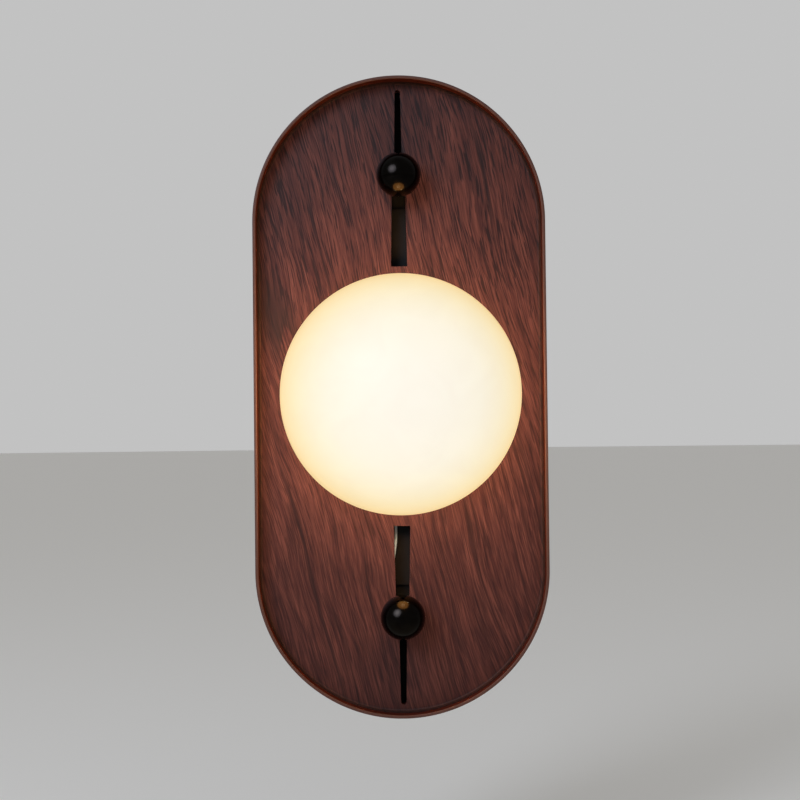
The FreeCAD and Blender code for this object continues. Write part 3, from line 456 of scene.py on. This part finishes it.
# Polished alabaster, lit from inside: nearly white in front of the lamp, amber towards the rim
alabaster = {
    "brightest": (0.04, -0.99, -0.03),  # direction of the brightest spot, from the shade's centre
    "glow": [(0.0, "cc9c52"), (0.333, "dcb97a"), (0.453, "e5c68b"), (0.55, "e6ce9a"), (0.65, "e6d5ab"),
             (0.753, "e6dbbe"), (0.867, "e6e0cf"), (1.0, "e6e2d8")],
    "glowOver": (-0.5, 1.0), "glowStrength": 1.05,
    "stone": "877d6b", "stoneDark": "7d7260", "roughness": 0.42, "sheen": 0.07,
    "cloud": 34, "cloudDetail": 3, "cloudTwist": 1.2, "cloudShade": (0.97, 1.01),
}


def makeAlabaster(centre):
    material, tree, shader = newMaterial("litAlabaster")
    coords = addNode(tree, "TexCoord").outputs["Object"]
    out = addNode(tree, "VectorMath", [coords, centre], operation="SUBTRACT")
    out = addNode(tree, "VectorMath", [out], operation="NORMALIZE")
    aim = Vector(alabaster["brightest"]).normalized()
    facing = addNode(tree, "VectorMath", [out, aim], operation="DOT_PRODUCT").outputs["Value"]
    towards = addNode(tree, "MapRange", [facing, *alabaster["glowOver"]])
    glow = addNode(tree, "ValToRGB", [towards], alabaster["glow"])
    cloud = addNode(tree, "TexNoise", {0: coords, "Scale": 1 / (alabaster["cloud"] * mm),
                                       "Detail": alabaster["cloudDetail"],
                                       "Distortion": alabaster["cloudTwist"]})
    faint = addNode(tree, "MapRange", [cloud, *noiseOver, *alabaster["cloudShade"]])
    stone = addNode(tree, "Mix", {0: faint, 6: colour(alabaster["stoneDark"]), 7: colour(alabaster["stone"])},
                    data_type="RGBA").outputs[2]
    feed(tree, shader, {
        "Base Color": stone,
        "Roughness": alabaster["roughness"],
        "Specular IOR Level": alabaster["sheen"],
        "Emission Color": addNode(tree, "VectorMath", {0: glow, "Scale": faint}, operation="SCALE"),
        "Emission Strength": alabaster["glowStrength"],
    })
    return material


# Blackened bronze, polished and waxed: nearly black with a brown cast
bronze = {"patch": 5.556, "patchDetail": 4, "tones": [(0.35, "0c0a09"), (0.65, "100e0c")],
          "roughness": (0.13, 0.2)}


def makeBronze():
    material, tree, shader = newMaterial("blackenedBronze")
    coords = addNode(tree, "TexCoord").outputs["Object"]
    patches = addNode(tree, "TexNoise", {0: coords, "Scale": 1 / (bronze["patch"] * mm),
                                         "Detail": bronze["patchDetail"]})
    feed(tree, shader, {
        "Base Color": addNode(tree, "ValToRGB", [patches], bronze["tones"]),
        "Roughness": addNode(tree, "MapRange", [patches, *noiseOver, *bronze["roughness"]]),
        "Metallic": 1.0,
    })
    return material


materials["dark_bronze"] = makeBronze()

# The other finishes, by slot. Each has its material's name, colour, how much that varies, metallic,
# roughness, the grain and its height, and where it isn't 0.5 the specular level.
finishes = {
    "black_rubber": ("mouldedRubber", "151515", 0.10, 0, 0.85, 0.6, 0.04),       # matt, fine skin
    "black_steel": ("powderCoatedSteel", "070707", 0.15, 0, 0.7, 0.5, 0.03, 0.1),  # dull and pebbled
    # the grey plate behind the slots is drawn nearly black: painted shade for the dark gap behind the board
    "grey_steel": ("shadeDarkenedSteel", "080605", 0.18, 0, 0.6, 4, 0.01, 0.12),    # dark, with clouds
    "zinc_screws": ("brightZincPlate", "b0aca2", 0.10, 1, 0.32, 1, 0.01),        # soft bright grey
    "zinc_studs": ("zincPlatedRod", "a8a49c", 0.12, 1, 0.36, 1, 0.01),           # a little duller
    "spacer_aluminium": ("turnedAluminium", "b6b6b8", 0.08, 1, 0.38, 0.5, 0.01),  # fine lathe marks
    "fibre": ("vulcanisedFibre", "1e130e", 0.25, 0, 0.6, 0.8, 0.03),             # dark card-like sheet
    "white_enamel": ("stovedEnamel", "e2e0d8", 0.03, 0, 0.3, 2, 0.01),           # smooth, half gloss
    "zinc_fittings": ("zincPlatedFitting", "b3ac98", 0.12, 1, 0.34, 1, 0.01),    # warm grey shine
    "black_moulding": ("phenolicMoulding", "121212", 0.08, 0, 0.4, 0.8, 0.01),   # black, half gloss
    "bare_brass": ("pressedBrass", "c9a65a", 0.10, 1, 0.3, 1, 0.01),             # yellow shine
    "collar_aluminium": ("spunAluminium", "bdbdbb", 0.06, 1, 0.35, 0.5, 0.01),   # pale, even
    "pin_steel": ("groundSteel", "a6a6a6", 0.05, 1, 0.25, 0.5, 0.01),            # bright, fine
    "silicone": ("mouldedSilicone", "dad7ce", 0.04, 0, 0.5, 1, 0.01),            # milky, soft
    "lamp_solder": ("tinSolder", "b4b1aa", 0.12, 1, 0.4, 0.8, 0.02),             # uneven grey
    "lamp_black_glass": ("blackGlass", "0b0b0d", 0.05, 0, 0.12, 2, 0.0),         # black mirror
    "lamp_nickel": ("nickelPlate", "c4bfb4", 0.06, 1, 0.2, 1, 0.01),             # warm bright
    "lamp_moulding": ("whiteMoulding", "e6e5e0", 0.03, 0, 0.32, 1, 0.01),        # white, half gloss
    "lamp_board": ("solderMask", "e4e4df", 0.05, 0, 0.45, 1, 0.01),              # flat white lacquer
    "opal_globe": ("opalDiffuser", "f0e6d2", 0.03, 0, 0.35, 3, 0.0),             # warm milky white
    "nylon": ("mouldedNylon", "d8d3c4", 0.04, 0, 0.42, 1, 0.01),                 # ivory, waxy
    "white_insulation": ("whiteSleeve", "bab8ae", 0.04, 0, 0.38, 1, 0.01),       # soft plastic sleeve
    "brown_insulation": ("brownSleeve", "3f2112", 0.06, 0, 0.38, 1, 0.01),       # the same in brown
    "green_insulation": ("greenSleeve", "3f7a22", 0.06, 0, 0.38, 1, 0.01),       # and in green
    "tinned_copper": ("tinnedCopper", "b9b4aa", 0.10, 1, 0.35, 0.8, 0.02),       # dull silver
}
finishNoise = {"detail": 3, "stain": 16.667, "stainDetail": 2,
               "roughnessSpread": 0.06, "reliefStrength": 0.3}


def makeFinish(name, base, vary, metallic, roughness, grain, height, specular=0.5):
    material, tree, shader = newMaterial(name)
    coords = addNode(tree, "TexCoord").outputs["Object"]
    noise = addNode(tree, "TexNoise", {0: coords, "Scale": 1 / (grain * mm), "Detail": finishNoise["detail"]})
    stain = addNode(tree, "TexNoise", {0: coords, "Scale": 1 / (finishNoise["stain"] * mm),
                                       "Detail": finishNoise["stainDetail"]})
    light = addNode(tree, "MapRange", [stain, *noiseOver, 1 - vary, 1 + vary])
    spread = finishNoise["roughnessSpread"]
    feed(tree, shader, {
        "Base Color": addNode(tree, "VectorMath", {0: colour(base)[:3], "Scale": light}, operation="SCALE"),
        "Roughness": addNode(tree, "MapRange", [noise, *noiseOver, max(roughness - spread, 0),
                                                min(roughness + spread, 1)]),
        "Metallic": metallic,
        "Specular IOR Level": specular,
    })
    if height:
        bump = addNode(tree, "Bump", {"Strength": finishNoise["reliefStrength"], "Distance": height * mm,
                                      "Height": noise})
        feed(tree, shader, {"Normal": bump})
    return material


for slot, values in finishes.items():
    materials[slot] = makeFinish(*values)


# The tray's hoop

hoop = {
    "frontRound": 0.5, "backRound": 0.3, "roundSegments": 4, "smoothAngle": 50,
    "centreRadius": 93,  # of the middle of the wall
    "pliesAcross": 2,    # the grain's map is this much wider through the wall than along the depth
}


# The grain's map: arc length from the joint at the bottom, against depth
def mapGrain(piece, reach):
    layer = piece.data.uv_layers.new(name="grain")
    top = reach / mm + hoop["centreRadius"] * math.pi / 2
    for face in piece.data.polygons:
        for corner in face.loop_indices:
            point = piece.data.vertices[piece.data.loops[corner].vertex_index].co
            along = point.z / mm
            if abs(point.z) > reach:
                turn = math.atan2(abs(point.z) - reach, abs(point.x))
                along = math.copysign(reach / mm + hoop["centreRadius"] * turn, point.z)
            if face.center.x < 0:
                along = 2 * top - along
            through = pillRadius(point, reach) / mm
            layer.data[corner].uv = (through * hoop["pliesAcross"] - point.y / mm, along)


def makeHoop():
    low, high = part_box("rim_hoop")
    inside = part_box("tray_board")[1].x
    radius = high.x
    reach = high.z - radius
    thick = radius - inside
    piece = addPill("bent_hoop", radius, reach, high.y, low.y, capped=False)
    modify(piece, "SOLIDIFY", thickness=thick, offset=-1, use_even_offset=True)
    edit(piece)
    faceOutwards()

    def onWall(edge):  # along the wall, not across it
        return abs(pillRadius(middle(edge), reach) - inside - thick / 2) > thick / 4

    for depth, size in ((low.y, hoop["frontRound"]), (high.y, hoop["backRound"])):
        pick(piece, "EDGE", lambda edge: level(edge, depth) and onWall(edge))
        bevel(size, hoop["roundSegments"])
    done()
    smooth(piece, hoop["smoothAngle"])
    mapGrain(piece, reach)
    return piece


hoopPiece = makeHoop()
share(hoopPiece, "tray", "hoop_walnut", "rim_hoop")
print("hoop done,", len(hoopPiece.data.polygons), "faces")


# The walnut board

board = {
    "ledge": 0.3, "cove": 2.0, "coveSegments": 8,
    "slotEnd": 84, "slotEndWidth": 10.7, "slotInnerWidth": 8.3,
    "slotOuterWidth": 5.4, "slotTipWidth": 3.5, "slotTip": 199, "tipRound": 0.49, "tipSegments": 6,
    "slotMargin": 0.1, "slotsFrom": 80, "slotsTo": 4,  # where the slots' edges are looked for
    "studHole": 5, "middleHole": 38, "middleSides": 96,
    "pilots": 3, "pilot": 1.75, "pilotCircle": 44.5, "pilotDepth": 6.5, "pilotSides": 24,
    "overcut": 2, "overlap": 0.01,
    "edgeRound": 0.35, "smoothAngle": 40,
}


# A tapered bar that cuts one half of a slot, from width at low to tipWidth at high
def slotCutter(width, tipWidth, low, high, back, front):
    bpy.ops.mesh.primitive_cube_add(size=1, location=(0, (back + front) / 2, (low + high) / 2 * mm),
                                    scale=(width * mm, back - front, (high - low) * mm))
    piece = newPiece("slotCutter")
    edit(piece)
    pick(piece, "VERT", lambda vert: abs(vert.co.z - high * mm) < tiny)
    bpy.ops.transform.resize(value=(tipWidth / width, 1, 1), center_override=(0, 0, high * mm))
    done()
    return piece


def roundTip(cutter):
    def tipEdge(edge):
        atTip = all(abs(vert.co.z - board["slotTip"] * mm) < tiny for vert in edge.verts)
        return atTip and abs(edge.verts[0].co.y - edge.verts[1].co.y) > mm

    edit(cutter)
    pick(cutter, "EDGE", tipEdge)
    bevel(board["slotTipWidth"] * board["tipRound"], board["tipSegments"])
    done()


def turnOver(cutter):  # from the upper half of the board to the lower
    only(cutter)
    cutter.scale.z = -1
    bpy.ops.object.transform_apply(scale=True)
    edit(cutter)
    bpy.ops.mesh.normals_make_consistent(inside=False)
    done()


def cutSlots(piece, back, front):
    ballLow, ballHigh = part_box("upper_ball")
    studUp = (ballLow.z + ballHigh.z) / 2
    for way in (1, -1):
        wide = slotCutter(board["slotEndWidth"], board["slotInnerWidth"], board["slotEnd"], studUp / mm,
                          back, front)
        narrow = slotCutter(board["slotOuterWidth"], board["slotTipWidth"], studUp / mm - board["overlap"],
                            board["slotTip"], back, front)
        roundTip(narrow)
        hole = cylinder("studCutter", board["studHole"] * mm, back, front, studUp)
        for cutter in (wide, narrow, hole):
            if way < 0:
                turnOver(cutter)
            cut(piece, cutter)


def cutPilots(piece, back, front):
    around = board["pilotCircle"] * mm
    for turn in range(board["pilots"]):
        angle = math.pi / 2 + turn * math.pi * 2 / board["pilots"]
        pilot = cylinder("pilotCutter", board["pilot"] * mm, back, front, sides=board["pilotSides"])
        only(pilot)
        pilot.location = (around * math.cos(angle), 0, around * math.sin(angle))
        bpy.ops.object.transform_apply(location=True)
        cut(piece, pilot)


def makeBoard():
    low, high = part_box("tray_board")
    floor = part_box("upper_washer")[1].y
    radius = high.x
    reach = high.z - radius
    piece = addPill("walnut_board", radius, reach, high.y, low.y)
    edit(piece)
    pick(piece, "FACE", lambda face: face.normal.y < -flatOn)
    bpy.ops.mesh.inset(thickness=board["ledge"] * mm)
    extrude((0, floor - low.y, 0))
    pick(piece, "EDGE", lambda edge: level(edge, floor))
    bevel(board["cove"], board["coveSegments"])
    done()
    back = high.y + board["overcut"] * mm
    front = low.y - board["overcut"] * mm
    cutSlots(piece, back, front)
    cut(piece, cylinder("middleCutter", board["middleHole"] * mm, back, front, sides=board["middleSides"]))
    cutPilots(piece, floor + board["pilotDepth"] * mm, front)
    slotHalf = (board["slotEndWidth"] / 2 + board["slotMargin"]) * mm

    def slotRim(edge):  # the slots' edges on the front and back faces
        point = middle(edge)
        flat = [face for face in edge.link_faces if abs(face.normal.y) > flatOn]
        return (len(flat) == 1 and abs(point.x) < slotHalf and abs(point.z) > board["slotsFrom"] * mm
                and pillRadius(point, reach) < radius - board["slotsTo"] * mm)

    edit(piece)
    pick(piece, "EDGE", slotRim)
    bpy.ops.mesh.bevel(offset=board["edgeRound"] * mm, segments=2, affect="EDGES", clamp_overlap=True)
    done()
    smooth(piece, board["smoothAngle"])
    modify(piece, "WEIGHTED_NORMAL", keep_sharp=True)
    return piece


boardPiece = makeBoard()
share(boardPiece, "tray", "board_walnut", "tray_board")
print("board done,", len(boardPiece.data.polygons), "faces")


# The stone shade

dome = {"wall": 6.5, "mouthRadius": 55, "lip": 8.5, "mouthRound": 1, "roundSegments": 4, "around": 160,
        "rings": 80, "smoothAngle": 40}


def makeDome():
    low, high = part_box("alabaster_dome")
    radius = high.x
    centre = Vector((0, low.y + radius, 0))
    mouth = high.y
    lip = mouth - dome["lip"] * mm
    piece = openSphere("alabaster_shade", radius, centre, mouth, dome)
    outerMouth = math.sqrt(radius ** 2 - (mouth - centre.y) ** 2)
    narrowMouth(piece, dome["mouthRadius"] * mm / outerMouth, mouth)
    extrude((0, lip - mouth, 0))
    done()
    inside = openSphere("shadeInside", radius - dome["wall"] * mm, centre, lip, dome)
    done()
    joinTo(piece, inside)
    edit(piece)
    pick(piece, "EDGE", openEdge)
    bpy.ops.mesh.bridge_edge_loops()
    faceOutwards()
    pick(piece, "EDGE", lambda edge: level(edge, mouth) and fromAxis(middle(edge)) > outerMouth - mm)
    bevel(dome["mouthRound"], dome["roundSegments"])
    done()
    smooth(piece, dome["smoothAngle"])
    return piece, centre


domePiece, domeCentre = makeDome()
materials["alabaster"] = makeAlabaster(domeCentre)
share(domePiece, "shade", "alabaster", "alabaster_dome")
domePiece.visible_glossy = False
domePiece.visible_shadow = False  # the lamp light below stands for the light that comes through the stone
print("shade done,", len(domePiece.data.polygons), "faces")


# The bronze ball nuts

ball = {"bore": 3.05, "boreDepth": 13, "drillTip": 1.2, "seatRound": 0.3, "roundSegments": 3, "around": 96,
        "rings": 64, "smoothAngle": 40}


def makeBall(name, node):
    low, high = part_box(node)
    radius = (high.x - low.x) / 2
    centre = Vector((0, low.y + radius, (high.z + low.z) / 2))
    seat = high.y
    seatRadius = math.sqrt(radius ** 2 - (seat - centre.y) ** 2)
    piece = openSphere(name, radius, centre, seat, ball)
    narrowMouth(piece, ball["bore"] * mm / seatRadius, seat, centre.z)
    extrude((0, -ball["boreDepth"] * mm, 0))
    extrude((0, -ball["drillTip"] * mm, 0))
    bpy.ops.mesh.merge(type="CENTER")
    faceOutwards()
    pick(piece, "EDGE", lambda edge: level(edge, seat) and fromAxis(middle(edge), centre.z) > seatRadius - mm)
    bevel(ball["seatRound"], ball["roundSegments"])
    done()
    smooth(piece, ball["smoothAngle"])
    return piece


for side in ("upper", "lower"):
    ballPiece = makeBall(side + "_ball_nut", side + "_ball")
    share(ballPiece, side + "_knob", "dark_bronze", side + "_ball")
print("balls done")


# Threaded rods: the studs that carry the balls, and the hollow tube that carries the lamp holder

rods = {
    "studPitch": 1.0, "studDepth": 0.55, "studChamfer": 0.6, "studSides": 48,     # M6
    "nipplePitch": 1.0, "nippleDepth": 0.5, "nippleBore": 3.6, "nippleSides": 64,  # M10x1
    "overlap": 0.9,   # the part of the thread's depth that the core leaves free
    "runOut": 0.6, "steps": 32, "smoothAngle": 30,
}


# A helical ridge round the Y axis, turned from a triangle that points outwards
def addThread(name, radius, depth, pitch, back, front, up=0.0):
    bpy.ops.mesh.primitive_circle_add(vertices=3, radius=1, fill_type="NOTHING", location=(0, 0, 0),
                                      rotation=(0, 0, -math.pi / 2))
    piece = newPiece(name)
    edit(piece)
    tall, wide = 1.5, 0.577   # the triangle's height, and what makes its side 1
    bpy.ops.transform.resize(value=(depth / tall * mm, pitch * wide * mm, 1), center_override=(0, 0, 0))
    bpy.ops.transform.translate(value=((radius - depth / tall) * mm, back, 0))
    done()
    turns = int((back - front) / (pitch * mm))
    modify(piece, "SCREW", axis="Y", screw_offset=-pitch * mm, iterations=turns, steps=rods["steps"],
           render_steps=rods["steps"], use_merge_vertices=False)
    edit(piece)
    bpy.ops.mesh.fill_holes(sides=3)
    faceOutwards()
    bpy.ops.transform.translate(value=(0, 0, up))
    done()
    return piece


def makeStud(name, node):
    low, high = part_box(node)
    radius = (high.x - low.x) / 2 / mm
    up = (low.z + high.z) / 2
    depth = rods["studDepth"]
    rod = cylinder(name, (radius - depth * rods["overlap"]) * mm, high.y, low.y, up, rods["studSides"])
    edit(rod)
    pick(rod, "EDGE", lambda edge: level(edge, low.y))
    bevel(rods["studChamfer"], 2)
    done()
    run = rods["runOut"] * mm
    joinTo(rod, addThread("studThread", radius, depth, rods["studPitch"], high.y - run * 2, low.y + run, up))
    smooth(rod, rods["smoothAngle"])
    return rod


def makeNipple():
    low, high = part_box("threaded_nipple")
    radius = (high.x - low.x) / 2 / mm
    depth = rods["nippleDepth"]
    core = radius - depth * rods["overlap"]
    tube = cylinder("hollow_nipple", core * mm, high.y, low.y, sides=rods["nippleSides"])
    edit(tube)
    pick(tube, "FACE", lambda face: abs(face.normal.y) > flatOn)
    bpy.ops.mesh.inset(thickness=(core - rods["nippleBore"]) * mm)
    bpy.ops.mesh.bridge_edge_loops()
    faceOutwards()
    done()
    run = rods["runOut"] * mm
    joinTo(tube, addThread("nippleThread", radius, depth, rods["nipplePitch"], high.y - run, low.y + run))
    smooth(tube, rods["smoothAngle"])
    return tube


for side in ("upper", "lower"):
    studPiece = makeStud(side + "_threaded_stud", side + "_stud")
    share(studPiece, "tray", "zinc_studs", side + "_stud")
share(makeNipple(), "tray", "zinc_fittings", "threaded_nipple")
print("threads done")


# Every CAD node takes the material of its slot
for part in frame["record"]["subparts"]:
    node = frame["nodes"][part["node"]]
    node.data.materials.clear()
    node.data.materials.append(materials[part["material_slot"]])
print("materials done,", len(materials))


# Studio

studio = {
    "floorDrop": 320, "floorRadius": 40000, "floorColour": "f8f6f2", "floorRoughness": 0.9, "floorSheen": 0.1,
    "worldColour": "ffffff", "worldStrength": 0.42, "paleStrength": 0.54,
}

# The lights: kind, place, power, colour and size. The disks aim at the tray's middle.
lights = {
    "keyLight": ("AREA", (-1150, -1750, 1050), 20, "e8f0ff", 800),
    "lampGlow": ("POINT", (0, -72, 0), 1.5, "fff3da", 54),      # through the stone
    # these two only show as gloss: the lit shade and the window, as the metal mirrors them
    "lampSheen": ("POINT", (0, -75, 0), 2.9, "ffb45a", 57),
    "windowSheen": ("AREA", (-1250, -1900, 1100), 110, "dfe8ff", 1700),
}


def addLight(name, kind, place, power, tint, size):
    light = bpy.data.lights.new(name, kind)
    light.energy = power
    light.color = colour(tint)[:3]
    if kind == "AREA":
        light.shape = "DISK"
        light.size = size * mm
    else:
        light.shadow_soft_size = size * mm
        light.use_soft_falloff = False
    holder = bpy.data.objects.new(name, light)
    holder.location = metres(place)
    holder.rotation_euler = (-Vector(holder.location)).to_track_quat("-Z", "Y").to_euler()
    holder.visible_camera = False
    bpy.context.scene.collection.objects.link(holder)
    return holder


def addFloor():
    bpy.ops.mesh.primitive_circle_add(vertices=64, radius=studio["floorRadius"] * mm, fill_type="NGON",
                                      location=(0, 0, -studio["floorDrop"] * mm))
    floor = newPiece("studio_floor")
    material, tree, shader = newMaterial("paleFloor")
    feed(tree, shader, {"Base Color": colour(studio["floorColour"]), "Roughness": studio["floorRoughness"],
                        "Specular IOR Level": studio["floorSheen"]})
    floor.data.materials.append(material)


# The world is paler where it is seen directly, or in gloss or glass, than where it lights the object
def addWorld():
    world = bpy.data.worlds.new("studio")
    world.use_nodes = True
    tree = world.node_tree
    rays = addNode(tree, "LightPath")
    seen = addNode(tree, "Math", [rays, rays.outputs["Is Glossy Ray"]], operation="MAXIMUM")
    seen = addNode(tree, "Math", [seen, rays.outputs["Is Transmission Ray"]], operation="MAXIMUM")
    strength = addNode(tree, "MapRange", [seen, 0, 1, studio["worldStrength"], studio["paleStrength"]])
    feed(tree, tree.nodes["Background"], [colour(studio["worldColour"]), strength])
    bpy.context.scene.world = world


addFloor()
addWorld()
placed = {name: addLight(name, *values) for name, values in lights.items()}
placed["lampGlow"].data.cycles.use_multiple_importance_sampling = False  # else the shade hides part of it
placed["lampGlow"].visible_glossy = False
placed["lampSheen"].visible_diffuse = False
placed["windowSheen"].visible_diffuse = False


# Camera: almost straight on, a little below the middle, and rolled by a hair as in the photograph

view = {"distance": 1035.5, "below": 1.33, "turned": 0.18, "roll": -0.63, "lens": 72, "sensor": 36,
        "aimRight": -0.4, "aimUp": -2.6}


def addCamera():
    data = bpy.data.cameras.new("camera")
    data.lens = view["lens"]
    data.sensor_width = view["sensor"]
    camera = bpy.data.objects.new("camera", data)
    below = math.radians(view["below"])
    turned = math.radians(view["turned"])
    aim = Vector((view["aimRight"] * mm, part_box("upper_washer")[1].y, view["aimUp"] * mm))
    ahead = Vector((math.sin(turned) * math.cos(below), math.cos(turned) * math.cos(below), math.sin(below)))
    camera.location = aim - ahead * view["distance"] * mm
    camera.rotation_euler = ahead.to_track_quat("-Z", "Y").to_euler()
    camera.rotation_euler.rotate_axis("Z", math.radians(view["roll"]))
    bpy.context.scene.collection.objects.link(camera)
    bpy.context.scene.camera = camera


addCamera()
print("studio done")
